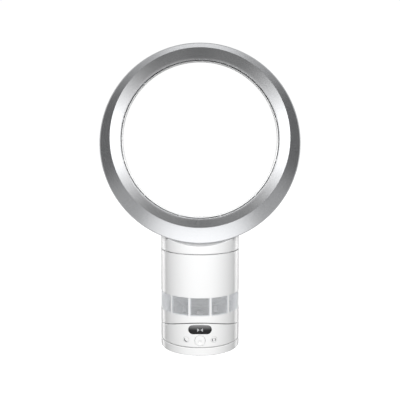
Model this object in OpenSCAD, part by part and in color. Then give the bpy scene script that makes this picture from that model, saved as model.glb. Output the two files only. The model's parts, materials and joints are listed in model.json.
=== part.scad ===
// Bladeless ring fan. A motor in the body turns a mixed-flow impeller, which lifts air
// into a hollow ring and out through a narrow slot round the ring's opening.
// Millimetres. The origin is on the floor under the body's axis, +Z up, front facing -Y.

/* [Body] */
// Radius of the foot, base, body and neck
body_r = 72.5; // [72.3:0.1:72.7]
// Thickness of the body's moulded shells
wall = 2.5; // [2.4:0.1:2.6]
// Height of the seam between the body and the ring's neck
neck_z = 180.6; // [180.4:0.1:180.8]
// Width of the visible seams between pieces
seam = 0.6; // [0.5:0.1:0.6]

/* [Air inlet] */
// Number of perforated windows round the body
window_n = 12; // [10:1:14]
// Height of the windows' lower edge
window_low = 72.3; // [72:0.1:73]
// Height of the windows' upper edge
window_high = 104.2; // [102:0.1:106]
// Width of the ribs between windows
window_rib = 2.6; // [2:0.1:4]

/* [Ring] */
// Height of the axis that the ring's opening is turned about
opening_z = 381; // [380:0.5:382]
// Height of the axis that the ring's outside is turned about
outer_z = 373.8; // [373:0.2:374.4]
// Outer radius of the ring
rim_r = 177.8; // [177:0.2:178]
// Radius where the diffuser meets the front bevel
mouth_r = 161.7; // [161:0.1:162.5]
// Radius of the diffuser at the air slot
throat_r = 151.1; // [150.8:0.1:151.4]
// Depth of the ring from front to back
ring_depth = 100; // [99:1:101]
// Width of the air slot
slot_w = 1.3; // [1.1:0.1:1.5]

/* [Tilt and swing] */
// Height of the tilt axis, the centre of the saddle's curve
tilt_z = 220.4; // [220.2:0.1:220.6]
// Radius of the saddle on top of the base
saddle_r = 176; // [175.8:0.1:176]
// Furthest tilt each way, in degrees
tilt_max = 10; // [5:1:10]
// Module of the swing gears
gear_m = 1.5; // [1.5]
// Teeth on a full circle of the swing gear
sector_teeth = 60; // [60]
// Teeth on the swing pinion
pinion_teeth = 12; // [12]

/* [Controls] */
// Height of the display window's centre
window_z = 48.1; // [47.9:0.1:48.1]
// Height of the speed dial's centre
dial_z = 28.9; // [28.7:0.1:29.1]
// Radius of the speed dial
dial_r = 9.2; // [9:0.1:9.3]
// Distance of each button from the middle
button_x = 24.5; // [24:0.5:25]
// Radius of each button
button_r = 5; // [4.8:0.1:5.1]

/* [Impeller] */
// Number of impeller blades
blade_n = 9; // [7:1:11]
// Gap between the blade tips and the housing
tip_gap = 0.8; // [0.6:0.1:1.2]

/* [Hidden] */
$fn = 96;
inner_r = body_r - wall;            // inside of the body's shells
window_a = 360 / window_n;
window_open_a = window_a - window_rib / body_r * 180 / PI;
front_y = -48;                      // the ring's front edge
back_y = front_y + ring_depth;      // the ring's flat back
rim_y = front_y + 3;                // seam between the ring's two casings
tip_w = 1.5;                        // flat on the front edge, outside the bevel
tongue_y = rim_y + 6;               // back edge of the tongue that locates the casings
throat_y = 37;                      // where the diffuser runs straight back
mouth_y = -33.4;                    // mean depth of the edge between diffuser and bevel
curve_l = 20;                       // length of the diffuser's curved stretch
nose_y = 44;                        // back edge of the front casing, inside the ring
ring_wall = 2;                      // thickness of the rear casing
back_round = 14;                    // rounding of the ring's outer back edge
lip_r = throat_r - slot_w - ring_wall;
lip_round = 8;                      // rounding of the opening's back edge
lip_y = 38;                         // front edge of the lip inside the slot
far = 60;                           // runs past the ring's front and back
diffuser_a = atan((mouth_r - throat_r) / (throat_y - mouth_y - curve_l / 2));
curve_r = curve_l / sin(diffuser_a);
foot_top = 15.8;
floor_low = 1.5;                    // underside of the foot's moulding
floor_high = floor_low + wall;
base_low = foot_top + seam;
disc_high = base_low + wall;        // top of the turntable
shell_top = neck_z - seam;
pan_r = saddle_r - seam;            // curve of the body's underside
spindle_r = 8;
screw_r = 1.4;
pinion_y = gear_m * (sector_teeth - pinion_teeth) / 2;
pressure_a = 20;
rail_x = 30;
rail_a = 8;                         // half the length of each rail, in degrees
rail_screw_a = 5;
switch_y = -56;                     // front face of the control board
housing_screw_r = 67;
boss_r = 54;                        // distance of the turntable's screws from the axis
sector_a = [50, 90, 130];           // directions of the gear sector's screws
cord_z = 9.9;                       // height of the cord gland
cord_r = 3.2;
// Inside of the air duct, bottom to top: [radius, height]
duct = [[35, 88], [36.5, 93], [48.5, 122], [52, 135], [56, 150], [58, 158], [58, 160.5]];
// Outside of the impeller's hub, bottom to top
hub = [[7, 90], [14, 93], [22, 100], [30, 110], [38, 121]];
white = "#f3f3f1";
silver = "#a5a7aa";
steel = "#b9bcc0";
dark = "#26272a";
rubber = "#3a3b3d";
board = "#2f6b45";
natural = "#e4e0d2";

// ---- helpers ----

function arc(c, r, a0, a1, n) =
    [for (i = [0 : n]) let (a = a0 + (a1 - a0) * i / n) c + r * [cos(a), sin(a)]];
function inset(points, d) = [for (p = points) [p.x - d, p.y]];
function reverse(points) = [for (i = [len(points) - 1 : -1 : 0]) points[i]];

// Cylinder on the body's axis between two heights
module span(r, z0, z1) translate([0, 0, z0]) cylinder(r = r, h = z1 - z0);

module tube(ro, ri, z0, z1) difference() {
    span(ro, z0, z1);
    span(ri, z0 - 1, z1 + 1);
}

// Turns a shape's Z axis to point backwards, along +Y, at height z
module about_y(z) translate([0, 0, z]) rotate([-90, 0, 0]) children();

module rod_y(x, z, r, y0, y1) translate([x, y0, 0]) about_y(z) cylinder(r = r, h = y1 - y0);

// Drum on the tilt axis, as wide as the body
module tilt_drum(r) translate([-body_r - 5, 0, tilt_z]) rotate([0, 90, 0])
    cylinder(r = r, h = 2 * body_r + 10, $fn = 360);

// Sweeps a section of [radius from the tilt axis, x] through a degrees each way from the bottom
module tilt_sweep(a) translate([0, 0, tilt_z]) rotate([0, 90, 0]) rotate([0, 0, -a])
    rotate_extrude(angle = 2 * a, $fn = 360) children();

// Drum round the ring's outer axis between two depths
module ring_drum(r, y0, y1) translate([0, y0, 0]) about_y(outer_z)
    cylinder(r = r, h = y1 - y0, $fn = 240);

module spaced(n, r, first = 0) for (k = [0 : n - 1]) rotate([0, 0, first + 360 / n * k])
    translate([r, 0, 0]) children();

module at_corners(x, y) for (sx = [-1, 1], sy = [-1, 1]) translate([sx * x, sy * y, 0]) children();

// Pan-head screw with its head above z = 0 and its shank below, with a hexagon socket
module screw(length, head_r = 2.7, head_h = 1.8) difference() {
    union() {
        cylinder(r = head_r, h = head_h, $fn = 32);
        translate([0, 0, -length]) cylinder(r = screw_r, h = length + head_h / 2, $fn = 32);
    }
    translate([0, 0, head_h / 2]) cylinder(r = 1.3, h = head_h, $fn = 6);
}

// ---- swing gears ----

function involute(a) = tan(a) * 180 / PI - a;
// Half the angle that a tooth of an n-tooth gear fills at radius r, less play in millimetres
function tooth_half(n, r, play) = let (base = n * gear_m / 2 * cos(pressure_a))
    90 / n + involute(pressure_a) - (r > base ? involute(acos(base / r)) : 0)
    - play / r * 180 / PI;
function polar(r, a) = [r * cos(a), r * sin(a)];
// Outline of one tooth of an n-tooth gear from radius r0 out to r1, centred on angle a
function tooth(n, r0, r1, a, play) = let (radii = [for (i = [0 : 3]) r0 + (r1 - r0) * i / 3])
    concat([for (r = radii) polar(r, a - tooth_half(n, r, play))],
        [for (r = reverse(radii)) polar(r, a + tooth_half(n, r, play))]);

// ---- foot ----

module foot_ring() color(rubber) tube(67, 60, 0, floor_low);

module foot_shell() color(white) difference() {
    union() {
        rotate_extrude() polygon([[0, floor_low], [body_r - 1, floor_low], [body_r, floor_low + 1],
            [body_r, foot_top], [inner_r, foot_top], [inner_r, floor_high], [0, floor_high]]);
        tube(64, 60, floor_high - 0.5, 14.4);
        span(spindle_r, floor_high - 0.5, 24.5);
    }
    span(5, floor_high, 30);
    translate([-3, 0, floor_high]) cube([6, spindle_r + 1, 7]);
    for (a = sector_a) rotate([0, 0, a]) translate([50, 0, 0]) span(screw_r, 2, 5);
    rod_y(0, cord_z, cord_r + 1.4, 65, 75);
}

module glide_ring() color(natural) tube(63.6, 60.4, 14.4, 16.1);

module gear_sector() color(natural) difference() {
    rotate([0, 0, 30]) rotate_extrude(angle = 120) translate([gear_m * (sector_teeth / 2 - 0.6), floor_high])
        square([54 - gear_m * (sector_teeth / 2 - 0.6), 7.5]);
    translate([0, 0, floor_high - 1]) linear_extrude(height = 10) polygon(concat([[0, 0]],
        [for (k = [-10 : 10]) each tooth(sector_teeth, gear_m * (sector_teeth / 2 - 0.9),
            gear_m * (sector_teeth / 2 + 1.2), 90 + 360 / sector_teeth * k, -0.08)]));
    for (a = sector_a) rotate([0, 0, a]) translate([50, 0, 0]) span(screw_r, 0, 20);
}

module sector_screws() color(steel) for (a = sector_a) rotate([0, 0, a])
    translate([50, 0, floor_high + 7.5]) screw(9.5, head_r = 2.4);

module spindle_nut() color(natural) tube(12, spindle_r, 21.6, 24.5);

module cord_grommet() color(rubber) difference() {
    union() {
        rod_y(0, cord_z, cord_r + 1.4, 67.8, 74);
        difference() {
            rod_y(0, cord_z, cord_r + 2.4, 70, 74);
            span(body_r, 0, 20);
        }
        intersection() {
            rod_y(0, cord_z, cord_r + 2.4, 67.8, 74);
            span(inner_r, 0, 20);
        }
    }
    rod_y(0, cord_z, cord_r, 60, 80);
}

// ---- base ----

// Slot-shaped bar along Y with round ends
module pill(half_w, half_h, y0, y1) {
    for (s = [-1, 1]) rod_y(s * (half_w - half_h), window_z, half_h, y0, y1);
    translate([-half_w + half_h, y0, window_z - half_h])
        cube([2 * (half_w - half_h), y1 - y0, 2 * half_h]);
}

module base_shell() color(white) difference() {
    union() {
        difference() {
            span(body_r, base_low, 62);
            difference() {
                span(inner_r, base_low - 1, 63);
                tilt_drum(saddle_r + wall);
            }
        }
        spaced(4, boss_r, 45) span(3.6, disc_high, 47.5);
    }
    tilt_drum(saddle_r);
    spaced(4, boss_r, 45) span(screw_r, disc_high - 1, 32);
    for (x = [-rail_x, rail_x], a = [-rail_screw_a, rail_screw_a]) translate([x, 0, tilt_z])
        rotate([a, 0, 0]) span(screw_r, -saddle_r - 5, -saddle_r + 2);
    span(6, 40, 50);
    pill(20.7, 7.9, -80, -66);
    rod_y(0, dial_z, dial_r + 0.4, -80, -60);
    for (x = [-button_x, button_x]) rod_y(x, dial_z + 0.5, button_r + 0.35, -80, -55);
}

module turntable() color(natural) difference() {
    span(inner_r - 0.3, base_low, disc_high);
    span(10.5, 0, 30);
    translate([0, pinion_y, 0]) span(4, 0, 30);
    spaced(4, boss_r, 45) {
        span(screw_r, 0, 30);
        span(3, base_low - 1, base_low + 1.5);
    }
    for (x = [-22, 22]) translate([x, pinion_y, 0]) span(screw_r, 0, 30);
}

module turntable_screws() color(steel) spaced(4, boss_r, 45) translate([0, 0, base_low + 1.5])
    mirror([0, 0, 1]) screw(12, head_r = 2.8, head_h = 1.3);

module swivel_bush() color(natural) difference() {
    union() {
        span(10.5, base_low, disc_high);
        span(14, disc_high, 21.3);
    }
    span(spindle_r + 0.05, 0, 30);
}

module swing_motor() color(steel) translate([0, pinion_y, 0]) difference() {
    union() {
        span(17.5, disc_high, 33);
        for (x = [-22, 22]) translate([x, 0, 0]) span(3.5, disc_high, disc_high + 1.5);
        translate([-22, -3.5, disc_high]) cube([44, 7, 1.5]);
    }
    span(2.55, 0, 25);
    for (x = [-22, 22]) translate([x, 0, 0]) span(screw_r, 0, 25);
}

module swing_motor_screws() color(steel) for (x = [-22, 22])
    translate([x, pinion_y, disc_high + 1.5]) screw(3.8, head_r = 2.4);

// Curved T-rails on the saddle: the body's pan hangs on them and slides round the tilt axis
module tilt_rails() color(dark) for (x = [-rail_x, rail_x]) difference() {
    tilt_sweep(rail_a) polygon([[saddle_r, x - 3], [saddle_r - 3.7, x - 3], [saddle_r - 3.7, x - 5.5],
        [saddle_r - 6.2, x - 5.5], [saddle_r - 6.2, x + 5.5], [saddle_r - 3.7, x + 5.5],
        [saddle_r - 3.7, x + 3], [saddle_r, x + 3]]);
    for (a = [-rail_screw_a, rail_screw_a]) translate([x, 0, tilt_z]) rotate([a, 0, 0])
        span(screw_r, -saddle_r - 1, -saddle_r + 5.5);
}

module rail_screws() color(steel) for (x = [-rail_x, rail_x], a = [-rail_screw_a, rail_screw_a])
    translate([x, 0, tilt_z]) rotate([a, 0, 0]) translate([0, 0, -saddle_r - wall - 0.05])
        mirror([0, 0, 1]) screw(7.5);

module power_board() color(board) translate([-36, -31.6, 20]) cube([72, 1.6, 20]);

module power_components() color(dark) {
    for (x = [-24, -10]) translate([x, -30, 27]) rotate([-90, 0, 0]) cylinder(r = 5, h = 11);
    translate([2, -30, 21]) cube([14, 9, 16]);
    translate([20, -30, 22]) cube([12, 4, 12]);
}

module control_board() color(board) translate([-40, switch_y, 20]) cube([80, 1.6, 25.5]);

module tact_switches() color(dark) for (x = [-button_x, button_x]) {
    translate([x - 3, switch_y - 2, dial_z - 2.5]) cube([6, 2, 6]);
    rod_y(x, dial_z + 0.5, 1.6, switch_y - 2.5, switch_y - 1);
}

module dial_encoder() color(dark) difference() {
    translate([-6.5, switch_y - 7, dial_z - 6.5]) cube([13, 7, 13]);
    rod_y(0, dial_z, 5.05, switch_y - 8, switch_y - 1);
}

module display_module() color(dark) {
    translate([-16, -66.6, window_z - 5.5]) cube([32, 2.5, 10]);
    for (x = [-12 : 4 : 12]) translate([x - 0.4, -65, window_z - 3.4]) cube([0.8, switch_y + 65, 0.8]);
}

module display_lens() color("#141416") intersection() {
    pill(20.6, 7.8, -75, -60);
    tube(body_r + 0.4, inner_r - 0.3, 30, 70);
}

module drive_pinion() color(natural) translate([0, pinion_y, 5.5]) difference() {
    linear_extrude(height = 7) polygon([for (k = [0 : pinion_teeth - 1])
        each tooth(pinion_teeth, gear_m * (pinion_teeth / 2 - 0.95), gear_m * (pinion_teeth / 2 + 0.9),
            90 + 360 / pinion_teeth * k, 0.08)]);
    span(2.5, -1, 10);
}

module pinion_shaft() color(steel) translate([0, pinion_y, 0]) span(2.5, 4.6, 24.5);

// ---- controls ----

// Push button at x: its face follows the body's curve and its flange stays behind the wall
module button(x) {
    intersection() {
        rod_y(x, dial_z + 0.5, button_r, -80, -62);
        span(body_r, 0, 60);
    }
    intersection() {
        rod_y(x, dial_z + 0.5, button_r + 1.4, -80, -62);
        span(inner_r - 0.4, 0, 60);
    }
    rod_y(x, dial_z + 0.5, 2, -63, switch_y - 4);
}

module timer_button() color(white) button(-button_x);

module swing_button() color(white) button(button_x);

module encoder_rotor() color(steel) difference() {
    rod_y(0, dial_z, 5, switch_y - 7.5, switch_y - 1.4);
    rod_y(0, dial_z, 3.05, switch_y - 8, switch_y - 1);
}

module speed_dial() color(white) difference() {
    union() {
        rod_y(0, dial_z, dial_r, -73.5, -67.2);
        rod_y(0, dial_z, 3, -68, switch_y - 2.2);
    }
    translate([0, -81, dial_z - 2.6]) sphere(r = 8.5);
}

// ---- body ----

// Wedge that fills one inlet window between two radii, with play at its edges in millimetres
module window_wedge(r0, r1, play) {
    half = window_open_a / 2 - play / body_r * 180 / PI;
    rotate([0, 0, -half]) rotate_extrude(angle = 2 * half)
        translate([r0, window_low + play]) square([r1 - r0, window_high - window_low - 2 * play]);
}

module body_shell() color(white) difference() {
    union() {
        intersection() {
            difference() {
                span(body_r, 40, shell_top);
                span(inner_r, 39, shell_top + 1);
            }
            union() {
                tilt_drum(pan_r);
                span(body_r + 1, 100, shell_top + 1);
            }
        }
        tube(inner_r + 0.5, 63.5, 150, 155.5);
        spaced(4, 0, 15) rotate_extrude(angle = 60) translate([inner_r - 2.2, 172])
            square([2.7, 3]);
        intersection() {
            at_corners(64.5, 14) span(4, 44, 61);
            tilt_drum(pan_r - wall);
            span(inner_r + 0.5, 40, 70);
        }
    }
    spaced(window_n, 0) window_wedge(inner_r - 3, body_r + 2, 0);
    spaced(4, housing_screw_r, 45) span(screw_r, 149, 157);
    at_corners(64.5, 14) span(screw_r, 40, 58);
}

module body_pan() color(dark) difference() {
    intersection() {
        span(inner_r - 0.05, 40, 70);
        tilt_drum(pan_r);
    }
    tilt_drum(pan_r - wall);
    for (x = [-rail_x, rail_x]) tilt_sweep(rail_a + tilt_max + 1) translate([pan_r - 10, x - 3.4])
        square([15, 6.8]);
    tilt_sweep(13) translate([pan_r - 10, -6]) square([15, 12]);
    at_corners(64.5, 14) {
        span(screw_r, 40, 60);
        span(2.8, 40, 47.1);
    }
}

module pan_screws() color(steel) at_corners(64.5, 14) translate([0, 0, 47.1])
    mirror([0, 0, 1]) screw(9.5, head_r = 2.6, head_h = 1.2);

// Perforated inlet: a sleeve inside the body with a raised panel in each window
module inlet_grille() color(steel) {
    tube(inner_r, inner_r - 1, window_low - 1.5, window_high + 1.5);
    spaced(window_n, 0) window_wedge(inner_r - 0.5, body_r - 0.3, 0.15);
}

module acoustic_foam() color(dark) tube(inner_r, 56, 62.5, window_low - 1.8);

module inlet_bellmouth() color(dark) rotate_extrude() polygon(concat(
    [[41, 88], [35, 88]], arc([43, 88], 8, 180, 260, 5), reverse(arc([43, 88], 6, 190, 260, 4)), [[37, 87], [41, 87]]));

module impeller_housing() color(dark) difference() {
    rotate_extrude() polygon(concat(duct, [[69.5, 160.5], [69.5, 158], [60, 158]],
        reverse([for (i = [1 : 4]) duct[i] + [2, 0]]), [[38, 90], [41, 90], [41, 88]]));
    spaced(4, housing_screw_r, 45) span(screw_r + 0.2, 150, 170);
}

module housing_seal() color(rubber) difference() {
    tube(69.7, 62, 155.5, 158);
    spaced(4, housing_screw_r, 45) span(screw_r + 0.2, 150, 170);
}

module housing_screws() color(steel) spaced(4, housing_screw_r, 45) translate([0, 0, 160.5])
    screw(10);

module neck_seal() color(rubber) tube(63.8, 60, 160.5, 168.7);

module bucket_lower() color(dark) {
    rotate_extrude() polygon([[8, 123.5], [38.5, 123.5], [44, 137], [42, 137], [37, 125.5], [8, 125.5]]);
    tube(29.5, 27.5, 125, 137);
}

// Thin curved strip in plan, used for the impeller blades and the diffuser vanes
module strip(r, thick, offset_x, offset_y) difference() {
    translate([offset_x, offset_y]) circle(r = r + thick / 2);
    translate([offset_x, offset_y]) circle(r = r - thick / 2);
}

module bucket_upper() color(dark) {
    rotate_extrude() polygon(concat([[44, 137]], [for (i = [0 : 7]) [44 * cos(i * 90 / 7), 150 + 18 * sin(i * 90 / 7)]],
        [for (i = [7 : -1 : 0]) [42 * cos(i * 90 / 7), 150 + 16 * sin(i * 90 / 7)]], [[42, 137]]));
    tube(29.5, 27.5, 137, 161.5);
    rotate_extrude() polygon([[54.2, 150], [55.6, 150], [55.6, 160.5], [59.8, 160.5], [59.8, 162], [54.2, 162]]);
    intersection() {
        spaced(blade_n, 0) translate([0, 0, 138]) linear_extrude(height = 16) intersection() {
            strip(30, 1.4, 49, -30);
            translate([40, -8]) square([20, 16]);
        }
        rotate_extrude() polygon([[43.5, 138], [52.5, 138], [55, 150], [55, 154], [43.5, 154]]);
    }
}

module motor_sleeve() color(rubber) tube(27.5, 25, 132, 154);

module motor_can() color(steel) rotate_extrude() polygon([[3, 128], [25, 128], [25, 156.5], [23.8, 156.5],
    [23.8, 129.2], [8.5, 129.2], [8.5, 133.2], [6.5, 133.2], [6.5, 129.2], [3, 129.2]]);

module motor_end_cap() color(steel) rotate_extrude() polygon([[3, 158], [25, 158], [25, 156.5],
    [8.5, 156.5], [8.5, 152.5], [6.5, 152.5], [6.5, 156.5], [3, 156.5]]);

module motor_bearings() color(steel) for (z = [129.2, 152.5]) tube(6.5, 2.53, z, z + 4);

module stator_core() color("#6d7075") {
    tube(23.8, 19.5, 137, 149);
    spaced(6, 0) intersection() {
        translate([0, -2.5, 137]) cube([20, 5, 12]);
        tube(20, 14, 137, 149);
    }
}

module stator_coils() color("#b5622d") spaced(6, 15) difference() {
    translate([0, -4.5, 135]) cube([4, 9, 16]);
    translate([-1, -2.5, 137]) cube([6, 5, 12]);
}

module driver_board() color(board) tube(22, 9.5, 152, 153.4);

// ---- rotor ----

// Plan of one blade: a thin arc from the hub out past the tips
module blade_plan() intersection() {
    strip(45, 1.2, -9.8, -41.2);
    difference() {
        circle(r = 52);
        circle(r = 9);
    }
    rotate([0, 0, -103]) translate([-60, 0]) square([120, 60]);
}

module impeller() color(natural) {
    rotate_extrude() polygon(concat([[2.5, 90]], hub, [[36, 121], [28, 111.5], [20, 102], [12.5, 96.5],
        [7.5, 95.5], [7.5, 118], [2.5, 118]]));
    intersection() {
        spaced(blade_n, 0) translate([0, 0, 85]) linear_extrude(height = 40) blade_plan();
        rotate_extrude() polygon([[8, 91.5], [36.5 - tip_gap, 93], [48.5 - tip_gap, 121.5], [47, 121.5],
            [37.2, 120.4], [29, 110], [21, 100.5], [13, 93.8]]);
    }
}

module motor_shaft() color(steel) span(2.5, 88, 157.5);

module rotor_magnet() color(dark) tube(13.2, 2.5, 136.5, 149.5);

// ---- ring ----

// Diffuser surface, front to back, moved outwards by off: [radius from the opening's axis, depth]
function diffuser(off) = let (bend = arc([throat_r + curve_r, throat_y], curve_r - off, 180 + diffuser_a, 180, 5))
    concat([[bend[0].x + (bend[0].y + far) * tan(diffuser_a), -far]], bend, [[throat_r + off, far]]);
// Depth of the front bevel, a 45 degree cone about the outer axis, at radius r
function bevel_y(r) = front_y + rim_r - tip_w - r;

// Fills the ring's opening up to the diffuser surface moved outwards by off
module plug(off) about_y(opening_z) rotate_extrude($fn = 240)
    polygon(concat([[0, -far]], diffuser(off), [[0, far]]));

module nozzle_inner_casing() color(silver) difference() {
    about_y(outer_z) rotate_extrude($fn = 240) polygon([[138, bevel_y(138)], [rim_r - tip_w, front_y],
        [rim_r, front_y], [rim_r, rim_y], [rim_r - 2.2, rim_y], [rim_r - 2.2, nose_y], [138, nose_y]]);
    plug(0);
    difference() {
        about_y(outer_z) rotate_extrude($fn = 240) polygon([[130, bevel_y(130) + wall * sqrt(2)],
            [rim_r - 4.4, bevel_y(rim_r - 4.4) + wall * sqrt(2)], [rim_r - 4.4, tongue_y],
            [rim_r + 20, tongue_y], [rim_r + 20, far], [130, far]]);
        plug(wall);
    }
}

// Fills the rear of the opening up to the rolled lip, moved outwards by off, from depth y back
module lip_plug(off, y) about_y(opening_z) rotate_extrude($fn = 240) polygon(concat([[0, y]],
    [[lip_r + off, y]], arc([lip_r + lip_round, back_y - lip_round], lip_round - off, 180, 90, 6),
    [[lip_r + lip_round, far], [0, far]]));

// Solid of the ring's outside, grown inwards by off, between depth y and the back
module ring_solid(off, y) about_y(outer_z) rotate_extrude($fn = 240) polygon(concat(
    [[138, y], [rim_r - off, y]], arc([rim_r - back_round, back_y - back_round], back_round - off, 0, 90, 6),
    [[138, back_y - off]]));

// Neck with a curved ledge under the ring's rim, and the collar that locks into the body
module neck() {
    difference() {
        span(body_r, neck_z, 213);
        ring_drum(rim_r - 0.8, rim_y, 80);
        ring_drum(rim_r + 0.7, -80, rim_y + 0.01);
        difference() {
            span(inner_r, neck_z - 1, 214);
            ring_drum(rim_r + 3, -80, 80);
        }
    }
    tube(inner_r + 0.5, 65.5, neck_z, neck_z + wall);
    tube(67.5, 65.5, 169, neck_z + 1);
    tube(67.5, 60, 169, 171);
    spaced(4, 0, 33) rotate_extrude(angle = 24) translate([67, 169.2]) square([2.7, 2.3]);
}

module nozzle_outer_casing() color(white) difference() {
    union() {
        difference() {
            ring_solid(0, rim_y);
            lip_plug(0, -far);
            difference() {
                ring_solid(ring_wall, rim_y - 1);
                lip_plug(ring_wall, lip_y);
            }
        }
        neck();
    }
    intersection() {
        span(64, 185, 214);
        translate([-70, -40, 180]) cube([140, 74, 40]);
    }
}

module slot_spacers() color(white) about_y(opening_z) for (k = [0 : 11]) rotate([0, 0, 30 * k + 14.5])
    rotate_extrude(angle = 1, $fn = 240) translate([throat_r - slot_w, 39]) square([slot_w, 4]);

foot_ring();
foot_shell();
glide_ring();
gear_sector();
sector_screws();
spindle_nut();
cord_grommet();
base_shell();
turntable();
turntable_screws();
swivel_bush();
swing_motor();
swing_motor_screws();
tilt_rails();
rail_screws();
power_board();
power_components();
control_board();
tact_switches();
dial_encoder();
display_module();
display_lens();
drive_pinion();
pinion_shaft();
timer_button();
swing_button();
encoder_rotor();
speed_dial();
body_shell();
body_pan();
pan_screws();
inlet_grille();
acoustic_foam();
inlet_bellmouth();
impeller_housing();
housing_seal();
housing_screws();
neck_seal();
bucket_lower();
bucket_upper();
motor_sleeve();
motor_can();
motor_end_cap();
motor_bearings();
stator_core();
stator_coils();
driver_board();
impeller();
motor_shaft();
rotor_magnet();
nozzle_inner_casing();
nozzle_outer_casing();
slot_spacers();
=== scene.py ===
import bpy
import bmesh
import json
import math
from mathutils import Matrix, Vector


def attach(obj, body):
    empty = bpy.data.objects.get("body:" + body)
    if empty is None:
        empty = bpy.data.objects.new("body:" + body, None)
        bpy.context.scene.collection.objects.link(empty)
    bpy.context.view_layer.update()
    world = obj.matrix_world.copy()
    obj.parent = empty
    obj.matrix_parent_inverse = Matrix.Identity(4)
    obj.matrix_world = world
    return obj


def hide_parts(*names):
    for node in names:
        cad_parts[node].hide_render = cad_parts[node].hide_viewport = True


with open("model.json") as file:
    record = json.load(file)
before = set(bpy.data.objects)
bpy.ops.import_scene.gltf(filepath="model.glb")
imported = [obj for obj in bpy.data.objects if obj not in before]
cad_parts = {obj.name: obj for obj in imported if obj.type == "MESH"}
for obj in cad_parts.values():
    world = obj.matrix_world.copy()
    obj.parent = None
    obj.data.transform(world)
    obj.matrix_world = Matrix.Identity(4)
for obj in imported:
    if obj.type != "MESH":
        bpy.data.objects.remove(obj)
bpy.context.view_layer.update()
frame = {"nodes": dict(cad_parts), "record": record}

# ---- Camera ----
# It stands a good metre in front of the fan, level with the middle of the ring, and looks a little
# down, so that the body's sides stay upright and the ring is seen square on.
eye_height = 0.3814
eye_distance = 1.090
look_down = 2.52
camera = bpy.data.objects.new("camera", bpy.data.cameras.new("camera"))
bpy.context.scene.collection.objects.link(camera)
bpy.context.scene.camera = camera
camera.location = (0, -eye_distance, eye_height)
camera.rotation_euler = (math.radians(90 - look_down), 0, 0)
camera.data.sensor_width = 36
camera.data.lens = 53.0
camera.data.shift_y = -0.0864
bpy.context.scene.view_settings.view_transform = "Standard"

# ---- Studio ----
# A white sweep all round, with soft boxes behind to the left and right, light from above and below,
# and dark flags at the sides that draw the grey edges of the white body and the silver ring.


class Signal:
    """A node socket that adds Math nodes when it is used in an expression."""

    def __init__(self, tree, socket):
        self.tree, self.socket = tree, socket

    def maths(self, operation, *values):
        return self.tree.node("ShaderNodeMath", {"operation": operation}, *values)

    def __add__(self, other):
        return self.maths("ADD", self, other)

    def __sub__(self, other):
        return self.maths("SUBTRACT", self, other)

    def __rsub__(self, other):
        return self.maths("SUBTRACT", other, self)

    def __mul__(self, other):
        return self.maths("MULTIPLY", self, other)

    __radd__, __rmul__ = __add__, __mul__

    def between(self, low, high):
        """Rises smoothly from 0 at low to 1 at high."""
        return self.tree.node("ShaderNodeMapRange", {"interpolation_type": "SMOOTHSTEP"}, self, low, high)


class Tree:
    """The nodes of one material or world."""

    def __init__(self, owner):
        owner.use_nodes = True
        self.tree = owner.node_tree
        self.tree.nodes.clear()

    def node(self, kind, settings=None, *values, out=0, **named):
        """Adds a node: its settings, then values or links for its sockets in order or by name."""
        made = self.tree.nodes.new(kind)
        for name, value in (settings or {}).items():
            setattr(made, name, value)
        for key, value in [*enumerate(values), *named.items()]:
            socket = made.inputs[key.replace("_", " ") if isinstance(key, str) else key]
            if isinstance(value, Signal):
                self.tree.links.new(value.socket, socket)
            elif value is not None:
                socket.default_value = value
        return Signal(self, made.outputs[out]) if len(made.outputs) else None

    def split(self, vector):
        """The three parts of a vector."""
        parts = self.node("ShaderNodeSeparateXYZ", {}, vector).socket.node.outputs
        return [Signal(self, part) for part in parts]


world = bpy.data.worlds.new("studio")
bpy.context.scene.world = world
sky = Tree(world)
across, back, up = sky.split(sky.node("ShaderNodeTexCoord"))
sideways = sky.node("ShaderNodeMath", {"operation": "ABSOLUTE"}, across)
height = sky.node("ShaderNodeMath", {"operation": "ABSOLUTE"}, up)
side_boxes = back.between(0.5, 0.66) * sideways.between(0.17, 0.5) * (1 - height.between(0.05, 0.55))
body_cards = back.between(0.48, 0.56) * sideways.between(0.5, 0.62) * (1 - height.between(0.4, 0.75))
behind = back.between(0.86, 0.99) * (0.4 + 0.6 * sideways.between(0.0, 0.12))
overhead = (0.33 - 0.2 * back.between(0.5, 0.8)) * up.between(0.2, 0.55) + 1.15 * up.between(0.72, 0.98)
down = 0 - up
underfoot = 0.4 * down.between(0.4, 0.9) + 0.65 * down.between(0.86, 0.98)
underfoot = underfoot + 0.1 * back.between(0.5, 0.7) * (down.between(0.2, 0.34) - down.between(0.36, 0.47))
front = (0 - back).between(0.35, 0.85)
mirrored = 0.16 - 0.11 * back.between(0.2, 0.6) + 0.45 * front + overhead + underfoot
mirrored = mirrored + 1.35 * side_boxes + 1.6 * body_cards + 0.8 * behind
lit = 0.06 + 0.9 * back.between(0.55, 0.8) + 0.1 * (0 - back).between(0.0, 0.8)
lit = lit + 0.2 * down.between(0.0, 0.6)
path = sky.node("ShaderNodeLightPath").socket.node.outputs
seen, glossy = Signal(sky, path["Is Camera Ray"]), Signal(sky, path["Is Glossy Ray"])
strength = seen * 1.02 + (1 - seen) * (glossy * mirrored + (1 - glossy) * lit)
sky.node("ShaderNodeOutputWorld", {}, sky.node("ShaderNodeBackground", {}, (1, 1, 1, 1), strength))

key_light = bpy.data.objects.new("key_light", bpy.data.lights.new("key_light", "AREA"))
bpy.context.scene.collection.objects.link(key_light)
key_light.data.shape = "RECTANGLE"
key_light.data.size = 1.2
key_light.data.size_y = 1.6
key_light.data.energy = 62
key_light.location = (0, -2.0, 1.3)
key_light.rotation_euler = (Vector((0, 0, 0.25)) - key_light.location).to_track_quat("-Z", "Y").to_euler()
key_light.visible_glossy = False

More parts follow.
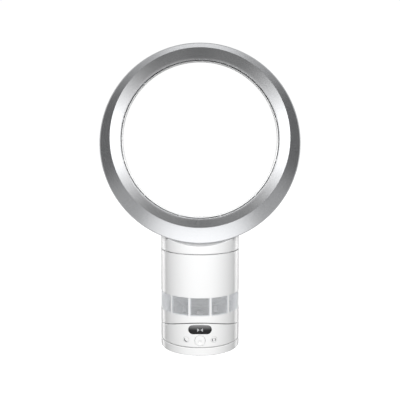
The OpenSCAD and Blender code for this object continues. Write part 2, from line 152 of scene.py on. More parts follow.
floor_mesh = bpy.data.meshes.new("floor")
disc = bmesh.new()
bmesh.ops.create_circle(disc, cap_ends=True, segments=96, radius=6)
disc.to_mesh(floor_mesh)
disc.free()
floor = bpy.data.objects.new("floor", floor_mesh)
bpy.context.scene.collection.objects.link(floor)
floor.visible_glossy = floor.visible_diffuse = False
paper = bpy.data.materials.new("white_sweep")
tree = Tree(paper)
grain = tree.node("ShaderNodeTexNoise", {}, Scale=40.0)
matt = tree.node("ShaderNodeBsdfDiffuse", {}, (0.8, 0.8, 0.8, 1), grain * 0.2 + 0.8)
glow = tree.node("ShaderNodeEmission", {}, (1, 1, 1, 1), 1.0)
tree.node("ShaderNodeOutputMaterial", {}, tree.node("ShaderNodeAddShader", {}, matt, glow))
floor_mesh.materials.append(paper)

# ---- Front casing of the ring ----
# One silver-painted moulding: a 45 degree bevel turned about the ring's outer axis, and a long
# diffuser turned about the opening's axis 7 mm higher. So the bevel is thin at the top and deep
# at the bottom. A tongue behind the rim locates it in the rear casing.
MM = 0.001
opening_z = 381.0
outer_z = 373.8
rim_r = 177.8
rim_flat = 1.5
front_y = -48.0
seam_y = -45.0
mouth_r, mouth_y = 161.7, -33.4
throat_r, throat_y = 151.1, 37.0
curve_length = 20.0
skin = 2.5
nose_y = 42.6
tongue_r, tongue_y = 175.6, -39.0
diffuser_slope = (mouth_r - throat_r) / (throat_y - mouth_y - curve_length / 2)
diffuser_a = math.atan(diffuser_slope)
curve_r = curve_length / math.sin(diffuser_a)


def diffuser_r(y, off=0.0):
    """Radius of the diffuser's surface at depth y, moved outwards by off."""
    bend = curve_r - off
    start_y = throat_y - bend * math.sin(diffuser_a)
    if y >= throat_y:
        return throat_r + off
    if y >= start_y:
        return throat_r + curve_r - math.sqrt(bend ** 2 - (throat_y - y) ** 2)
    return diffuser_r(start_y, off) + (start_y - y) * diffuser_slope


def bevel_edge(turn, off=0.0):
    """Where bevel and diffuser meet: radius about the opening's axis, and depth."""
    r, y = mouth_r, mouth_y
    for _ in range(12):
        from_outer = math.hypot(r * math.cos(turn), opening_z - outer_z + r * math.sin(turn))
        y = front_y + rim_r - rim_flat - from_outer + off * math.sqrt(2)
        r = diffuser_r(y, off)
    return r, y


def on_axis(axis_z, turn, r, y):
    """A point at depth y and radius r from a level axis that runs front to back."""
    return (r * math.cos(turn), y, axis_z + r * math.sin(turn))


def arc(centre, r, start, end, steps):
    """Points of an arc in a section, from one angle in degrees to another."""
    angles = [math.radians(start + (end - start) * k / steps) for k in range(steps + 1)]
    return [(centre[0] + r * math.cos(a), centre[1] + r * math.sin(a)) for a in angles]


def rounded(corners, steps=3):
    """A closed outline of (point, radius) corners. A corner with a radius is cut to a curve."""
    outline = []
    for k, (corner, radius) in enumerate(corners):
        corner = Vector(corner)
        before, after = (Vector(corners[n % len(corners)][0]) - corner for n in (k - 1, k + 1))
        reach = min(radius, before.length * 0.45, after.length * 0.45)
        if radius == 0:
            outline.append(corner)
            continue
        start, end = corner + before.normalized() * reach, corner + after.normalized() * reach
        for t in (s / steps for s in range(steps + 1)):
            outline.append((1 - t) ** 2 * start + 2 * t * (1 - t) * corner + t * t * end)
    return outline


def plain(points):
    return [(p, 0) for p in points]


def finish_mesh(name, shape, sharp_above=40, turn_out=True):
    """Turns a bmesh into a smooth-shaded object whose edges above an angle stay sharp."""
    bmesh.ops.remove_doubles(shape, verts=shape.verts, dist=1e-7)
    if turn_out:
        bmesh.ops.dissolve_degenerate(shape, edges=shape.edges, dist=1e-7)
        bmesh.ops.recalc_face_normals(shape, faces=shape.faces)
        if shape.calc_volume(signed=True) < 0:
            bmesh.ops.reverse_faces(shape, faces=shape.faces)
    mesh = bpy.data.meshes.new(name)
    shape.to_mesh(mesh)
    shape.free()
    piece = bpy.data.objects.new(name, mesh)
    bpy.context.scene.collection.objects.link(piece)
    return shade(piece, sharp_above)


def shade(piece, sharp_above=40):
    piece.data.shade_smooth()
    piece.data.set_sharp_from_angle(angle=math.radians(sharp_above))
    return piece


def skin_over(shape, rows, ring=True, holes=()):
    """Faces over rows of points in mm, apart from those that holes lists as (row, column).

    Each row closes on itself, and with ring the last row joins the first.
    """
    made = [[shape.verts.new(Vector(p) * MM) for p in row] for row in rows]
    count = len(made[0])
    for i in range(len(made) if ring else len(made) - 1):
        row, after = made[i], made[(i + 1) % len(made)]
        for j in range(count):
            if (i, j) not in holes:
                shape.faces.new((row[j], row[(j + 1) % count], after[(j + 1) % count], after[j]))
    return made


def loft(name, rows, ring=True, caps=False):
    """A closed skin over rows of points: a ring of sections, or a stack of them with end caps."""
    shape = bmesh.new()
    made = skin_over(shape, rows, ring)
    if caps:
        shape.faces.new(made[0])
        shape.faces.new(made[-1])
    return finish_mesh(name, shape)


def turns(count):
    return [2 * math.pi * k / count for k in range(count)]


def even_out(piece):
    """Keeps large faces flat-shaded and lets the small rounded edges carry the turn."""
    weighted = piece.modifiers.new("even_shading", "WEIGHTED_NORMAL")
    weighted.keep_sharp, weighted.weight = True, 80


def front_casing_section(turn):
    outer = lambda r, y: on_axis(outer_z, turn, r, y)
    inner = lambda y, off=0.0: on_axis(opening_z, turn, diffuser_r(y, off), y)
    edge_r, edge_y = bevel_edge(turn)
    under_r, under_y = bevel_edge(turn, skin)
    depths = [edge_y + (throat_y - edge_y) * k / 12 for k in range(1, 13)]
    nose = [on_axis(opening_z, turn, *p) for p in arc((throat_r + skin / 2, nose_y), skin / 2, 180, 0, 6)]
    inside = [inner(y, skin) for y in reversed([under_y + 2, *depths[1:]])]
    tongue_in = tongue_r - 2.2
    bevel_back = front_y + rim_r - rim_flat - tongue_in + skin * math.sqrt(2)
    return rounded([
        (outer(rim_r, seam_y), 0.25), (outer(rim_r, front_y), 0.5), (outer(rim_r - rim_flat, front_y), 0.4),
        (on_axis(opening_z, turn, edge_r, edge_y), 0.4), *plain([inner(y) for y in depths]), *plain(nose),
        *plain(inside), (on_axis(opening_z, turn, under_r, under_y), 0.5),
        *plain([outer(tongue_in, bevel_back), outer(tongue_in, tongue_y), outer(tongue_r, tongue_y),
                outer(tongue_r, seam_y)])])


def colour_of(value):
    return value if isinstance(value, Signal) else (*value, 1)


def mix(tree, factor, a, b):
    """Blends two colours."""
    number_and_vector_sockets = [None] * 5
    sockets = (factor, *number_and_vector_sockets, colour_of(a), colour_of(b))
    return tree.node("ShaderNodeMix", {"data_type": "RGBA"}, *sockets, out=2)


def noise(tree, place, scale, detail=2.0):
    return tree.node("ShaderNodeTexNoise", {}, place, Scale=scale, Detail=detail)


def bump(tree, height, millimetres):
    return tree.node("ShaderNodeBump", {}, Strength=1.0, Distance=millimetres * MM, Height=height)


def material(name, look, **fixed):
    """A material. look returns what varies over the surface; the rest is set on the shader."""
    made = bpy.data.materials.new(name)
    tree = Tree(made)
    place = tree.node("ShaderNodeTexCoord", out="Object")
    shader = tree.node("ShaderNodeBsdfPrincipled", {}, **fixed, **look(tree, place))
    tree.node("ShaderNodeOutputMaterial", {}, shader)
    return made


def silver_look(tree, place):
    flakes = tree.node("ShaderNodeTexVoronoi", {}, place, Scale=2600.0, out=1)
    sparkle = tree.node("ShaderNodeSeparateColor", {}, flakes)
    mottle = noise(tree, place, 9.0, 3.0)
    peel = noise(tree, place, 420.0, 1.0)
    colour = mix(tree, sparkle * 0.7 + mottle * 0.3, (0.62, 0.63, 0.65), (0.72, 0.725, 0.735))
    return {"Base_Color": colour, "Roughness": 0.2 + 0.07 * mottle + 0.05 * sparkle,
            "Normal": bump(tree, peel + 0.3 * sparkle, 0.004)}


silver_paint = material("silver_paint", silver_look, Metallic=1.0, Coat_Weight=0.25, Coat_Roughness=0.08)
front_casing = loft("front_casing", [front_casing_section(t) for t in turns(288)])
even_out(front_casing)
front_casing.data.materials.append(silver_paint)
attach(front_casing, "nozzle")
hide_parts("nozzle_inner_casing")

# ---- Rear casing of the ring, with its neck ----
# A glossy white moulding: the hollow back of the ring, rolled round to the lip of the air slot, and
# the round neck under it. The neck has a curved ledge in front of the rim, and a collar with
# four bayonet lugs that locks into the body.
shell_r = 72.5
shell_in = 70.0
neck_low, neck_levels = 181.0, (184, 188, 192)
back_y = 52.0
back_round = 14.0
rim_wall = 2
lip_r, lip_y, lip_round, lip_wall, lip_flare = 147.8, 38.0, 8.0, 2.0, 0.6
airway_x, airway_front, airway_back, airway_r = 60.0, -40.0, 34.0, 63.5
collar_r, collar_throat_r, collar_ledge_r = 67.5, 65.5, 60
collar_low, collar_ledge_z = 169, 171
lug_tip_r, lug_width_a = 69.7, 24
lug_angles = [33 + 90 * k for k in range(4)]


def rear_casing_section(turn):
    outer = lambda points: plain([on_axis(outer_z, turn, *p) for p in points])
    inner = lambda points: plain([on_axis(opening_z, turn, *p) for p in points])
    lip = lambda r, y: on_axis(opening_z, turn, r, y)
    shoulder = (rim_r - back_round, back_y - back_round)
    roll = (lip_r + lip_round, back_y - lip_round)
    lip_in = lip_r + lip_wall
    return rounded([
        (on_axis(outer_z, turn, rim_r, seam_y), 0.4), *outer([(rim_r, y) for y in (-38, -20, 0, 20)]),
        *outer(arc(shoulder, back_round, 0, 90, 10)), *inner(arc(roll, lip_round, 90, 180, 8)),
        (lip(lip_r, lip_y), 0.8), (lip(lip_in + lip_flare, lip_y), 0.8), (lip(lip_in, lip_y + 3), 0),
        *inner(arc(roll, lip_round - lip_wall, 180, 90, 6)),
        *outer(arc(shoulder, back_round - rim_wall, 90, 0, 6)),
        *outer([(rim_r - rim_wall, y) for y in (20, 0, -20)]),
        (on_axis(outer_z, turn, rim_r - rim_wall, seam_y), 0.3)])


def drum_z(r, x):
    """Height of the underside of a drum of radius r on the ring's outer axis."""
    return outer_z - math.sqrt(r * r - x * x)


def neck_section(turn):
    c, s = math.cos(turn), math.sin(turn)
    at = lambda r, z: (r * c, r * s, z)
    step_r = min(-seam_y / max(-s, 0.01) + 0.3, shell_r - 2.8)
    ledged = -s * shell_r > -seam_y
    ledge = rim_r + 0.7 if ledged else rim_r - 0.8
    airway_y = -airway_front if s < 0 else airway_back
    hole_edge = min(airway_x / max(abs(c), 0.01), airway_y / max(abs(s), 0.01), airway_r)
    span = lambda r0, r1, count, drum: plain([
        at(r, drum_z(drum, r * c)) for r in (r0 + (r1 - r0) * k / count for k in range(count + 1))])
    at_lug = any(0 <= (math.degrees(turn) - a) % 360 <= lug_width_a for a in lug_angles)
    lug_r = lug_tip_r if at_lug else collar_r
    collar = [
        (shell_in, neck_low + 2.5), (collar_throat_r, neck_low + 2.5), (collar_throat_r, collar_ledge_z),
        (collar_ledge_r, collar_ledge_z), (collar_ledge_r, collar_low), (collar_r, collar_low),
        (lug_r, 169.2), (lug_r, 171.5), (collar_r, 171.7), (collar_r, neck_low)]
    return rounded([
        (at(shell_r, neck_low), 1.5), *plain([at(shell_r, z) for z in neck_levels]),
        (at(shell_r, drum_z(ledge, shell_r * c)), 1.3), *span(shell_r - 2, step_r + 0.2, 4, ledge),
        *span(step_r - 0.2, hole_edge, 2, rim_r - 0.8), *span(hole_edge, shell_in, 3, rim_r + 3),
        *plain([at(r, z) for r, z in collar])])


def combine(piece, other, operation, careful=False):
    """Joins other to piece or cuts it away, and leaves one mesh. The careful way is slower."""
    step = piece.modifiers.new("combine", "BOOLEAN")
    step.operation, step.object, step.solver, step.use_self = operation, other, "EXACT", careful
    bpy.context.view_layer.update()
    mesh = bpy.data.meshes.new_from_object(piece.evaluated_get(bpy.context.evaluated_depsgraph_get()))
    piece.modifiers.clear()
    piece.data = mesh
    bpy.data.objects.remove(other)
    return shade(piece)


def block(name, low, high):
    """A plain box that is only used to cut with."""
    (x0, y0, z0), (x1, y1, z1) = low, high
    rows = [[(x0, y0, z), (x1, y0, z), (x1, y1, z), (x0, y1, z)] for z in (z0, z1)]
    return loft(name, rows, ring=False, caps=True)


def white_look(tree, place):
    drift = noise(tree, place, 6.0, 3.0)
    touch = noise(tree, place, 45.0, 4.0)
    peel = noise(tree, place, 700.0, 1.0)
    colour = mix(tree, drift, (0.875, 0.88, 0.885), (0.905, 0.905, 0.9))
    return {"Base_Color": colour, "Roughness": 0.15 + 0.07 * touch, "Normal": bump(tree, peel, 0.003)}


white_plastic = material("white_plastic", white_look, IOR=1.5, Coat_Weight=0.3, Coat_Roughness=0.05)
rear_casing = loft("rear_casing", [rear_casing_section(t) for t in turns(288)])
combine(rear_casing, loft("neck", [neck_section(t) for t in turns(288)]), "UNION")
airway_low, airway_high = (1 - airway_x, 1 + airway_front, 185), (airway_x - 1, airway_back - 1, 212)
combine(rear_casing, block("airway", airway_low, airway_high), "DIFFERENCE")
even_out(rear_casing)
rear_casing.data.materials.clear()
rear_casing.data.materials.append(white_plastic)
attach(rear_casing, "nozzle")
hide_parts("nozzle_outer_casing")

# ---- Body casing ----
# A glossy white tube with twelve inlet windows cut through it. Its lower edge follows the curve
# that the body tilts on, and ledges inside carry the impeller's housing and the neck's lugs.
window_count = 12
window_low, window_high = 72.3, 104.2
window_a = 360 / window_count
rib_a = math.degrees(2.6 / shell_r)
window_steps = 12
tilt_z, pan_r = 220.4, 175.1
casing_top = 180.0
lock_r = 67.8
housing_ledge_r = 63.5


def saddle_z(r, y):
    """Height of a drum of radius r on the tilt axis, at depth y."""
    return tilt_z - math.sqrt(r * r - y * y)


body_angles = [window_a * k - (window_a - rib_a) / 2 + (window_a - rib_a) * j / window_steps
               for k in range(window_count) for j in range(window_steps + 1)]
body_outer = [None, 62, 66, window_low, window_high, 120, 140, 160, casing_top]
body_inner = [(shell_in, casing_top), (shell_in, 175), (lock_r, 175), (lock_r, 172), (shell_in, 172),
              (shell_in, 155.5), (housing_ledge_r, 155.5), (housing_ledge_r, 150), (shell_in, 150),
              (shell_in, window_high), (shell_in, window_low), (shell_in, 66), (shell_in, 62),
              (shell_in, None)]


def body_section(around):
    """The wall's outline at an angle in degrees. A level of None is the curved lower edge."""
    turn = math.radians(around)
    locked = 15 <= around % 90 <= 75
    rows = [(shell_r, z) for z in body_outer] + body_inner
    section = []
    for r, z in rows:
        if r == lock_r and not locked:
            r = shell_in - 0.02
        lowest = saddle_z(pan_r, r * math.sin(turn))
        level = lowest if z is None else max(z, lowest + 0.3)
        section.append((r * math.cos(turn), r * math.sin(turn), level))
    return section


def windowed_tube(name, angles, section, out_row, in_row):
    """A tube of sections. In each window both walls stay open and their edges are joined."""
    shape = bmesh.new()
    last = window_steps + 1
    open_spans = [i for i in range(len(angles)) if i % last != window_steps]
    holes = {(i, j) for i in open_spans for j in (out_row, in_row)}
    made = skin_over(shape, [section(a) for a in angles], holes=holes)
    lower, upper = (out_row, in_row + 1), (out_row + 1, in_row)
    for i in open_spans:
        here, there = made[i], made[i + 1]
        for out_side, in_side in (lower, upper):
            shape.faces.new((here[out_side], there[out_side], there[in_side], here[in_side]))
    for column in (made[i] for i in range(len(made)) if i % last in (0, window_steps)):
        shape.faces.new([column[k] for k in (*lower[:1], *upper, *lower[1:])])
    return finish_mesh(name, shape)


body_casing = windowed_tube("body_casing", body_angles, body_section, body_outer.index(window_low),
                            len(body_outer) + body_inner.index((shell_in, window_high)))


def soften(piece, width, above=50):
    """Rounds the edges that are sharper than an angle."""
    edges = piece.modifiers.new("soft_edges", "BEVEL")
    edges.width, edges.segments, edges.limit_method = width * MM, 2, "ANGLE"
    edges.angle_limit = math.radians(above)
    edges.use_clamp_overlap = True
    even_out(piece)


soften(body_casing, 0.6)
body_casing.data.materials.append(white_plastic)
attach(body_casing, "body")
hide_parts("body_shell")

# ---- Inlet screens ----
# Twelve trays of fine punched sheet, one curved into each window, on a thin steel sleeve behind the
# ribs. The holes stand in staggered rows with a plain margin at the trays' edges.
sheet_r = 72.1
sheet_thick = 0.9
hole_pitch, row_pitch = 2.2, 1.9
hole_r = 0.92
tray_depth = 2.1
margin = 0.15
tray_half = math.radians((window_a - rib_a) / 2) - margin / sheet_r
tray_low, tray_high = window_low + margin, window_high - margin
hole_rows = round((tray_high - tray_low) / row_pitch)
hole_columns = round(2 * tray_half * sheet_r / hole_pitch)
cell_w, cell_h = 2 * tray_half * sheet_r / hole_columns, (tray_high - tray_low) / hole_rows


def tray_vertices(shape, centre):
    """Returns a function that gives the tray's vertex at a distance along the arc and a height."""
    kept = {}

    def vertex(along, z, r=sheet_r):
        key = (round(along, 3), round(z, 3), r)
        if key not in kept:
            a = centre - tray_half + along / sheet_r
            kept[key] = shape.verts.new(Vector((r * math.cos(a), r * math.sin(a), z)) * MM)
        return kept[key]
    return vertex


def punch_cell(shape, vertex, left, low):
    """One cell of sheet with its round hole, as eight faces round the hole."""
    half_w, half_h = cell_w / 2, cell_h / 2
    x, z = left + half_w, low + half_h
    corners = [math.radians(45 * k) for k in range(8)]
    rim = [vertex(x + round(math.cos(a)) * half_w, z + round(math.sin(a)) * half_h) for a in corners]
    hole = [vertex(x + math.cos(a) * hole_r, z + math.sin(a) * hole_r) for a in corners]
    for k in range(8):
        shape.faces.new((rim[k - 1], rim[k], hole[k], hole[k - 1]))


def blank_half_cell(shape, vertex, left, low):
    """Half a cell of plain sheet, at the end of a staggered row."""
    right, middle, top = left + cell_w / 2, low + cell_h / 2, low + cell_h
    outline = [(left, low), (right, low), (right, middle), (right, top), (left, top), (left, middle)]
    shape.faces.new([vertex(*p) for p in outline])


def tray_edge(shape, vertex):
    """The tray's edge, turned in all round towards the sleeve."""
    xs = [cell_w / 2 * k for k in range(2 * hole_columns + 1)]
    zs = [tray_low + cell_h / 2 * k for k in range(2 * hole_rows + 1)]
    outline = [(x, zs[0]) for x in xs] + [(xs[-1], z) for z in zs[1:]]
    outline += [(x, zs[-1]) for x in xs[-2::-1]] + [(xs[0], z) for z in zs[-2:0:-1]]
    turned_in = sheet_r - tray_depth
    for k in range(len(outline)):
        a, b = outline[k - 1], outline[k]
        shape.faces.new((vertex(*b), vertex(*a), vertex(*a, turned_in), vertex(*b, turned_in)))


shape = bmesh.new()
for k in range(window_count):
    vertex = tray_vertices(shape, math.radians(window_a * k))
    for row in range(hole_rows):
        low, shift = tray_low + row * cell_h, row % 2
        for column in range(hole_columns - shift):
            punch_cell(shape, vertex, (column + shift / 2) * cell_w, low)
        if shift:
            blank_half_cell(shape, vertex, 0, low)
            blank_half_cell(shape, vertex, (hole_columns - 0.5) * cell_w, low)
    tray_edge(shape, vertex)
inlet_screens = finish_mesh("inlet_screens", shape, sharp_above=50, turn_out=False)
sheet = inlet_screens.modifiers.new("sheet_thickness", "SOLIDIFY")
sheet.thickness, sheet.offset = sheet_thick * MM, -1


def screen_look(tree, place):
    grain = noise(tree, place, 260.0, 3.0)
    drift = noise(tree, place, 14.0, 2.0)
    colour = mix(tree, drift, (0.78, 0.8, 0.83), (0.86, 0.875, 0.89))
    return {"Base_Color": colour, "Roughness": 0.34 + 0.14 * grain, "Normal": bump(tree, grain, 0.01)}


punched_steel = material("punched_steel", screen_look, Metallic=0.15)
inlet_screens.data.materials.append(punched_steel)
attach(inlet_screens, "body")
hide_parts("inlet_grille")

sleeve_r, sleeve_in = 69.98, 69
sleeve_levels = (70.8, 73.4, 103.1, 105.7)
sleeve_gap = math.degrees(1.2 / shell_in)
sleeve_angles = [window_a * k + (window_a - rib_a - 2 * sleeve_gap) * (j / window_steps - 0.5)
                 for k in range(window_count) for j in range(window_steps + 1)]
sleeve_rows = [(sleeve_r, z) for z in sleeve_levels] + [(sleeve_in, z) for z in reversed(sleeve_levels)]


def sleeve_section(around):
    turn = math.radians(around)
    return [(r * math.cos(turn), r * math.sin(turn), z) for r, z in sleeve_rows]


screen_sleeve = windowed_tube("screen_sleeve", sleeve_angles, sleeve_section, 1, 5)
screen_sleeve.data.materials.append(punched_steel)
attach(screen_sleeve, "body")

# ---- Base casing ----
# A glossy white tube under the body, closed on top by the curved saddle that the body tilts over.
# Its front has openings for the display window, the speed dial and the two buttons.
base_low = 16.7
saddle_r = 176.3
base_skin = 2.5
wire_hole_r = 6.0
window_z, window_half_w, window_half_h = 48.1, 20.6, 7.8
opening_half_w, opening_half_h = 20.7, 7.9
dial_gap, button_gap = 0.4, 0.35
cutter_front = -80
window_cut, dial_cut, button_cut = -66.0, -62.0, -60.0
opening_flare = ((1.3, -1.0), (0.0, 0.3))
dial_z, dial_r = 28.9, 9.2
button_x, button_z, button_r = 24.5, 29.4, 5.0


def base_section(turn):
    c, s = math.cos(turn), math.sin(turn)
    at = lambda r, z: (r * c, r * s, z)
    top = lambda r: at(r, saddle_z(saddle_r, r * s))
    under = lambda r: at(r, saddle_z(saddle_r + base_skin, r * s))
    return rounded([
        (at(shell_r, base_low), 1.3), *plain([at(shell_r, z) for z in (24, 32, 38)]),
        (top(shell_r), 1.1), *plain([top(r) for r in (70, 60, 45, 30, 15)]), (top(wire_hole_r), 0.4),
        (under(wire_hole_r), 0.4), *plain([under(r) for r in (15, 30, 45, 60)]), (under(shell_in), 1.0),
        (at(shell_in, base_low), 0.3)])


def pill(half_w, half_h, steps=16):
    """Outline of a slot with round ends, grown by d: (across, up) points."""
    def outline(d=0.0):
        r, x = max(half_h + d, 0.02), half_w - half_h
        return arc((x, 0), r, -90, 90, steps) + arc((-x, 0), r, 90, 270, steps)
    return outline


def circle(r, steps=48):
    """Outline of a circle, grown by d. Its points keep clear of the casing's middle line."""
    angles = [a + math.pi / steps for a in turns(steps)]
    return lambda d=0.0: [((r + d) * math.cos(a), (r + d) * math.sin(a)) for a in angles]


def on_front(place, point, depth, r=shell_r):
    """A point on the front of a tube of radius r, sunk behind its face by depth."""
    x = place[0] + point[0]
    return (x, depth - math.sqrt(r * r - x * x), place[1] + point[1])


def opening(name, outline, place, back):
    """A cutter that follows the casing's curve, breaks the opening's edge and ends at depth back."""
    flare = [[on_front(place, p, depth) for p in outline(d)] for d, depth in opening_flare]
    rows = [[(x, y, z) for x, _, z in row] for y, row in ((cutter_front, flare[0]), (back, flare[1]))]
    return loft(name, [rows[0], *flare, rows[1]], ring=False, caps=True)


openings = [("window_opening", pill(opening_half_w, opening_half_h), (0, window_z), window_cut),
            ("dial_opening", circle(dial_r + dial_gap, 64), (0, dial_z), dial_cut),
            *[("button_opening", circle(button_r + button_gap), (x, button_z), button_cut)
              for x in (-button_x, button_x)]]
base_casing = loft("base_casing", [base_section(t) for t in turns(288)])
for cutter in openings:
    combine(base_casing, opening(*cutter), "DIFFERENCE", careful=True)
even_out(base_casing)
base_casing.data.materials.clear()
base_casing.data.materials.append(white_plastic)
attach(base_casing, "base")
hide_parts("base_shell")

# ---- Foot ----
# A round white tray that the base swings on, with a raised spindle and a bearing wall inside. A
# rubber tread ring is pressed under it, and a rubber bush in its back takes the cord.
foot_top = 15.5
floor_top = 4.0
bearing_r, bearing_in, bearing_top = 64, 60, 14.4
spindle_r, spindle_in, spindle_top = 8, 5, 24.5
tread_in, tread_r, tread_top = 60, 67, 1.49
cord_z, cord_r, cord_opening_r = 9.9, 3.2, 4.6
bush_r, bush_lip_r = 5.6, 5.2
bush_inside, bush_wall_in, bush_wall_out, bush_outside = 67.8, 69.85, 72.6, 74


def round_z(r, z, turn):
    return (r * math.cos(turn), r * math.sin(turn), z)


def lathe(name, outline, steps=192, at=round_z):
    """Turns an outline of (radius, height) points about the upright axis."""
    return loft(name, [[at(r, z, turn) for r, z in outline] for turn in turns(steps)])


foot_casing = lathe("foot_casing", rounded([
    ((0, 1.5), 0), ((71.5, 1.5), 0.3), ((shell_r, 2.5), 0.5), ((shell_r, foot_top), 1.3),
    ((shell_in, foot_top), 0.3), ((shell_in, floor_top), 0.6), ((bearing_r, floor_top), 0.4),
    ((bearing_r, bearing_top), 0.2), ((bearing_in, bearing_top), 0.2), ((bearing_in, floor_top), 0.4),
    ((spindle_r, floor_top), 0.6), ((spindle_r, spindle_top), 0.4), ((spindle_in, spindle_top), 0.3),
    ((spindle_in, floor_top), 0), ((0, floor_top), 0)]), 288)
behind_foot = lambda r, y, turn: (r * math.cos(turn), y, cord_z + r * math.sin(turn))
cord_opening = [(0, 66), (cord_opening_r, 66), (cord_opening_r, 75), (0, 75)]
combine(foot_casing, lathe("cord_opening", cord_opening, 48, behind_foot), "DIFFERENCE")
even_out(foot_casing)
foot_casing.data.materials.clear()
foot_casing.data.materials.append(white_plastic)
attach(foot_casing, "foot")
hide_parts("foot_shell")


def rubber_look(tree, place):
    dust = noise(tree, place, 60.0, 4.0)
    grit = noise(tree, place, 1500.0, 2.0)
    return {"Base_Color": mix(tree, dust, (0.022, 0.022, 0.024), (0.045, 0.045, 0.047)),
            "Roughness": 0.62 + 0.2 * dust, "Normal": bump(tree, grit, 0.02)}


rubber = material("rubber", rubber_look)
groove = [(-0.3, 0), (-0.15, 0.4), (0.15, 0.4), (0.3, 0)]
grooves = [((tread_in + (tread_r - tread_in) * k / 6 + off, z), 0.15)
           for k in range(1, 6) for off, z in groove]
foot_tread = lathe("foot_tread", rounded([
    ((tread_in, tread_top), 0.1), ((tread_in, 0), 0.4), *grooves, ((tread_r, 0), 0.4),
    ((tread_r, tread_top), 0.1)]))
cord_bush = lathe("cord_bush", rounded([
    ((cord_r, bush_inside), 0.3), ((bush_r, bush_inside), 0.5), ((bush_r, bush_wall_in), 0.1),
    ((cord_opening_r, bush_wall_in), 0.1), ((cord_opening_r, bush_wall_out), 0.1),
    ((bush_r, bush_wall_out), 0.1), ((bush_lip_r, bush_outside), 0.5),
    ((cord_r, bush_outside), 0.5)]), 64, behind_foot)
for piece, node in ((foot_tread, "foot_ring"), (cord_bush, "cord_grommet")):
    piece.data.materials.append(rubber)
    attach(piece, "foot")
    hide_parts(node)

# ---- Display window ----
# A glossy black window, moulded to the base's curve and set into its opening with a thin gap. Two
# pale wedges, printed on it, point at each other. Its black is painted paler towards the top, a
# painted reflection of the light overhead.
lens_r, lens_back = 72.9, -63.6
ink_thick, ink_root = 0.05, 0.2
wedge_near, wedge_far, wedge_half_h = 0.7, 5.0, 3.0


def cap(name, outline, place, r, rings, back):
    """A solid with a curved face: rings of (growth, depth) from middle to edge, then its back."""
    rows = [[on_front(place, p, depth, r) for p in outline(d)] for d, depth in rings]
    rows.append([(x, back, z) for x, _, z in rows[-1]])
    return loft(name, rows, ring=False, caps=True)


edge_round = [(-0.5, 0.0), (-0.2, 0.06), (-0.05, 0.18), (0.0, 0.4)]
display_window = cap("display_window", pill(window_half_w, window_half_h, 20), (0, window_z), lens_r,
                     [*[(d, 0.0) for d in (-7.75, -6, -4, -2, -1)], *edge_round], lens_back)


def gloss_black_look(tree, place):
    smear = noise(tree, place, 55.0, 3.0)
    # Painted highlight: the base colour rises from near black to grey towards the top, standing in for the
    # reflection of the light above.
    painted_top_sheen = tree.split(place)[2].between((window_z - 2) * MM, (window_z + 9) * MM)
    return {"Base_Color": mix(tree, painted_top_sheen + 0.03 * smear, (0.004, 0.004, 0.005), (0.22, 0.22, 0.225)),
            "Roughness": 0.04 + 0.05 * smear}


black_gloss = material("black_gloss", gloss_black_look, IOR=1.45, Coat_Weight=0.1, Coat_Roughness=0.02)
display_window.data.materials.append(black_gloss)
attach(display_window, "base")
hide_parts("display_lens")


def printed(name, outline, place, r):
    """A thin printed mark on a curved face, from its closed outline."""
    rows = [[on_front(place, p, depth, r) for p in outline] for depth in (-ink_thick, ink_root)]
    return loft(name, rows, ring=False, caps=True)


def ink_look(dark, light):
    def look(tree, place):
        colour = mix(tree, noise(tree, place, 900.0), dark, light)
        return {"Base_Color": colour, "Roughness": 0.4 + 0.1 * noise(tree, place, 300.0)}
    return look


pale_ink = material("pale_ink", ink_look((0.42, 0.43, 0.44), (0.5, 0.51, 0.52)))
grey_ink = material("grey_ink", ink_look((0.05, 0.05, 0.055), (0.08, 0.08, 0.085)))
for name, side in (("wedge_left", -1), ("wedge_right", 1)):
    near, far = side * wedge_near, side * wedge_far
    corners = [((far, -wedge_half_h), 0.5), ((near, 0), 0.3), ((far, wedge_half_h), 0.5)]
    wedge = printed(name, rounded(corners), (0, window_z), lens_r)
    wedge.data.materials.append(pale_ink)
    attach(wedge, "base")

# ---- Speed dial ----
# A white knob on the encoder's shaft, pushed in to switch the fan on. Its edge is rounded and its
# face has a round finger dimple below the middle.
dial_front, dial_back = -73.5, -67.2
dial_stem_r, dial_stem_end = 3, -58.2
dimple_r, dimple_y, dimple_drop = 6.6, -78.8, 2.6
about_dial = lambda r, y, turn: (r * math.cos(turn), y, dial_z + r * math.sin(turn))
about_dimple = lambda r, y, turn: (r * math.cos(turn), y, dial_z - dimple_drop + r * math.sin(turn))
speed_knob = lathe("speed_knob", rounded([
    ((0, dial_front), 0), ((6.4, dial_front), 0), ((dial_r, dial_front + 0.15), 0.9),
    ((dial_r, dial_back), 0.3), ((dial_stem_r, dial_back), 0.3), ((dial_stem_r, dial_stem_end), 0.3),
    ((0, dial_stem_end), 0)], 5), 128, about_dial)
dimple = arc((0, dimple_y), dimple_r, -90, 90, 48)
combine(speed_knob, lathe("dimple", dimple, 96, about_dimple), "DIFFERENCE")
soften(speed_knob, 0.25, 30)
speed_knob.data.materials.clear()
speed_knob.data.materials.append(white_plastic)
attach(speed_knob, "dial")
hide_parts("speed_dial")

# ---- Buttons ----
# Two round white keys whose faces follow the base's curve. A flange behind the wall keeps each one
# in, and a stem reaches its switch. The timer, left, has a crescent and the swing, right, two bows.
key_skirt = 2.95
flange_r, flange_back = 6.4, -62.5
stem_r, stem_root, stem_end = 2.0, -62.4, -60.0


def key_cap(name, x):
    outline = circle(button_r)
    rows = [[on_front((x, button_z), p, depth) for p in outline(d)]
            for d, depth in ((-4.9, 0.0), (-3.5, 0.0), (-2, 0.0), *edge_round, (0.0, key_skirt))]
    rows.append([on_front((x, button_z), p, 0.0, shell_in - 0.4) for p in circle(flange_r)()])
    rows += [[(x + p[0], y, button_z + p[1]) for p in circle(r)()]
             for r, y in ((flange_r, flange_back), (stem_r, stem_root), (stem_r, stem_end))]
    return loft(name, rows, ring=False, caps=True)


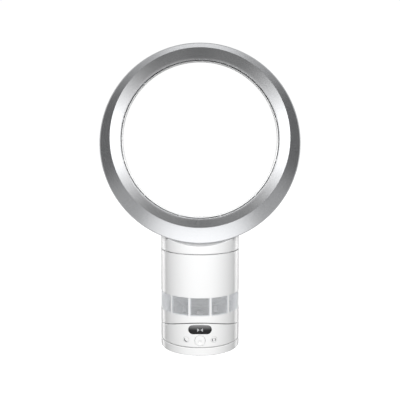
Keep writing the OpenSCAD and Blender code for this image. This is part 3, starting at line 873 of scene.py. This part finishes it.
def crescent(r):
    """A thin moon, open to the upper right."""
    turned = math.radians(225)
    outside, inside = arc((0, 0), r, -105, 105, 20), arc((-0.5 * r, 0), r * 0.97, 80, -80, 16)
    return [(x * math.cos(turned) - y * math.sin(turned), x * math.sin(turned) + y * math.cos(turned))
            for x, y in outside + inside]


def bow(x, r, half_angle, thick, side):
    """A thin arc, bent to the left or right."""
    middle = 180 if side < 0 else 0
    outside = arc((x, 0), r + thick / 2, middle - half_angle, middle + half_angle, 10)
    return outside + arc((x, 0), r - thick / 2, middle + half_angle, middle - half_angle, 10)


keys = (("timer_key_cap", "timer_button", "timer_key", -button_x, [crescent(3.5)]),
        ("swing_key_cap", "swing_button", "swing_key", button_x,
         [bow(0.3, 2.9, 62, 1.25, -1), bow(-0.3, 2.9, 52, 1.25, 1)]))
for name, node, body, x, marks in keys:
    key = key_cap(name, x)
    even_out(key)
    key.data.materials.append(white_plastic)
    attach(key, body)
    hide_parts(node)
    for number, outline in enumerate(marks):
        mark = printed(f"{node}_mark_{number + 1}", outline, (x, button_z), shell_r)
        mark.data.materials.append(grey_ink)
        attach(mark, body)

# ---- Inner pieces ----
# Everything inside the casings: moulded ducts and gears, plated steel, copper windings, foam and
# circuit boards. They keep their own shapes and get their own finishes.


def grained(dark, light, rough, grain_scale, depth):
    """A matt moulded or cast finish with a fine texture."""
    def look(tree, place):
        grain = noise(tree, place, grain_scale, 3.0)
        drift = noise(tree, place, 18.0, 2.0)
        return {"Base_Color": mix(tree, drift, dark, light), "Roughness": rough + 0.15 * grain,
                "Normal": bump(tree, grain, depth)}
    return look


def banded(dark, light, rough, bands_per_metre):
    """Layers across the part, as in stacked laminations or wound wire."""
    def look(tree, place):
        upright = {"bands_direction": "Z"}
        bands = tree.node("ShaderNodeTexWave", upright, place, Scale=bands_per_metre, Distortion=0.4)
        return {"Base_Color": mix(tree, bands, dark, light), "Roughness": rough + 0.1 * bands,
                "Normal": bump(tree, bands, 0.05)}
    return look


def board_look(tree, place):
    square_cells = {"distance": "MANHATTAN", "feature": "F1"}
    cells = tree.node("ShaderNodeTexVoronoi", square_cells, place, Scale=330.0)
    tracks = cells.between(0.42, 0.5)
    colour = mix(tree, tracks, (0.01, 0.12, 0.05), (0.05, 0.3, 0.12))
    return {"Base_Color": colour, "Roughness": 0.3 + 0.2 * tracks, "Normal": bump(tree, tracks, 0.03)}


dark_moulding = grained((0.02, 0.02, 0.022), (0.035, 0.035, 0.038), 0.5, 1800, 0.02)
natural_moulding = grained((0.62, 0.6, 0.52), (0.72, 0.7, 0.63), 0.42, 900, 0.01)
zinc_plating = grained((0.5, 0.51, 0.52), (0.66, 0.67, 0.68), 0.26, 700, 0.01)
laminations = banded((0.14, 0.145, 0.155), (0.3, 0.31, 0.32), 0.4, 300)
sintered_grain = grained((0.05, 0.05, 0.055), (0.09, 0.09, 0.1), 0.45, 2500, 0.03)
windings = banded((0.4, 0.13, 0.05), (0.75, 0.32, 0.14), 0.3, 420)
foam_pores = grained((0.015, 0.015, 0.016), (0.05, 0.05, 0.053), 0.9, 900, 0.6)
finishes = {
    "dark_plastic": material("dark_plastic", dark_moulding),
    "natural_plastic": material("natural_plastic", natural_moulding),
    "steel": material("zinc_steel", zinc_plating, Metallic=1.0),
    "grille_steel": punched_steel,
    "laminated_steel": material("laminated_steel", laminations, Metallic=0.9),
    "magnet": material("sintered_magnet", sintered_grain, Metallic=0.6),
    "copper_wire": material("copper_wire", windings, Metallic=0.9),
    "rubber": rubber,
    "foam": material("open_foam", foam_pores),
    "circuit_board": material("circuit_board", board_look),
    "white_plastic": white_plastic,
    "silver_finish": silver_paint,
    "black_gloss": black_gloss,
}
for part in frame["record"]["subparts"]:
    node = frame["nodes"][part["node"]]
    node.data.materials.clear()
    node.data.materials.append(finishes[part["material_slot"]])
